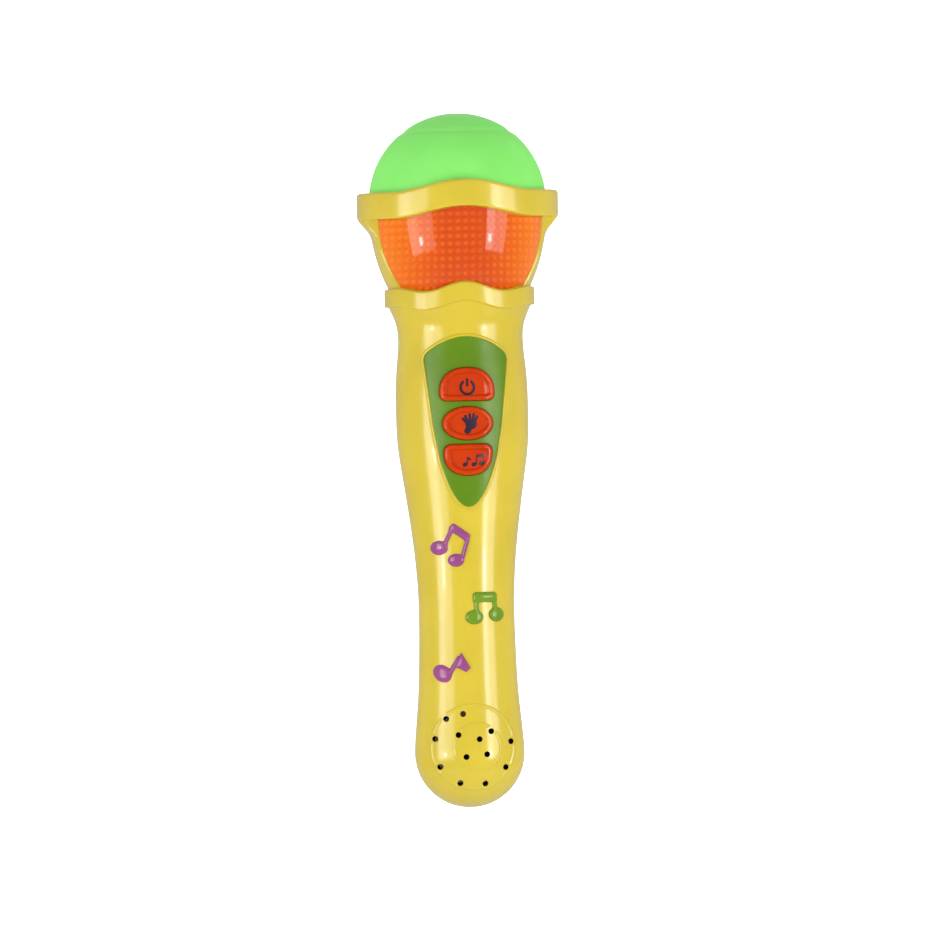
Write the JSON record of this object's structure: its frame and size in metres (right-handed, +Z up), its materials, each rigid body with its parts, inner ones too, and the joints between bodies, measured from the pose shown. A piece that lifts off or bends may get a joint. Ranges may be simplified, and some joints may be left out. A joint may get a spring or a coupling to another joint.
{
  "type": "toy microphone",
  "caption": "Handheld toy microphone with a soft translucent dome, an amber light window, push buttons, a grille in the handle's end and a battery door.",
  "frame": {"origin": "on the axis at the lowest point of the handle's round end", "axes": "+Z up the axis from the handle's end to the dome, front with the buttons towards -Y, +X to the right of someone looking at the front"},
  "size_m": [0.061, 0.061, 0.21],
  "materials": {
    "yellow_plastic": "glossy moulded plastic",
    "dome_vinyl": "matt translucent plastic",
    "amber_lens": "clear glossy plastic with a studded inner face",
    "panel_plastic": "satin moulded plastic",
    "button_plastic": "glossy translucent plastic with printed symbols",
    "silicone": "matt silicone rubber",
    "carbon": "matt conductive rubber",
    "circuit_board": "green solder mask",
    "epoxy_black": "black epoxy",
    "steel": "plated steel",
    "cone_paper": "coated paper",
    "ferrite": "dark sintered ferrite",
    "cell_jacket": "printed foil jacket with no lettering",
    "white_plastic": "matt moulded plastic",
    "led_epoxy": "clear epoxy",
    "wire_red": "soft insulation",
    "wire_black": "soft insulation"
  },
  "bodies": {
    "casing": {"front_shell": "yellow_plastic", "rear_shell": "yellow_plastic", "dome": "dome_vinyl", "window_lens": "amber_lens", "control_panel": "panel_plastic", "keypad_sheet": "silicone", "main_board": "circuit_board", "sound_chip": "epoxy_black", "capacitor": "epoxy_black", "crystal": "steel", "board_screw_1": "steel", "board_screw_2": "steel", "case_screw_1": "steel", "case_screw_2": "steel", "case_screw_3": "steel", "case_screw_4": "steel", "contact_bridge": "steel", "contact_positive": "steel", "contact_negative": "steel", "battery_spring_1": "steel", "battery_spring_2": "steel", "speaker_frame": "steel", "speaker_cone": "cone_paper", "speaker_magnet": "ferrite", "battery_1": "cell_jacket", "battery_2": "cell_jacket", "battery_tray": "white_plastic", "led_plate": "white_plastic", "led_red": "led_epoxy", "led_green": "led_epoxy", "led_blue": "led_epoxy", "speaker_wire_red": "wire_red", "battery_wire_red": "wire_red", "led_wire_red": "wire_red", "speaker_wire_black": "wire_black", "battery_wire_black": "wire_black", "led_wire_black": "wire_black"},
    "power_key": {"power_button": "button_plastic", "power_plunger": "silicone", "power_pill": "carbon"},
    "applause_key": {"applause_button": "button_plastic", "applause_plunger": "silicone", "applause_pill": "carbon"},
    "music_key": {"music_button": "button_plastic", "music_plunger": "silicone", "music_pill": "carbon"},
    "door": {"battery_door": "yellow_plastic", "door_screw": "steel"}
  },
  "joints": [
    {"name": "power_press", "type": "slide", "parent": "casing", "child": "power_key", "axis": [0, 1, 0], "range_m": [0, 0.0012], "stiffness_N_per_m": 350},
    {"name": "applause_press", "type": "slide", "parent": "casing", "child": "applause_key", "axis": [0, 1, 0], "range_m": [0, 0.0012], "stiffness_N_per_m": 350},
    {"name": "music_press", "type": "slide", "parent": "casing", "child": "music_key", "axis": [0, 1, 0], "range_m": [0, 0.0012], "stiffness_N_per_m": 350},
    {"name": "door_lift", "type": "slide", "parent": "casing", "child": "door", "axis": [0, 1, 0], "range_m": [0, 0.03]}
  ]
}
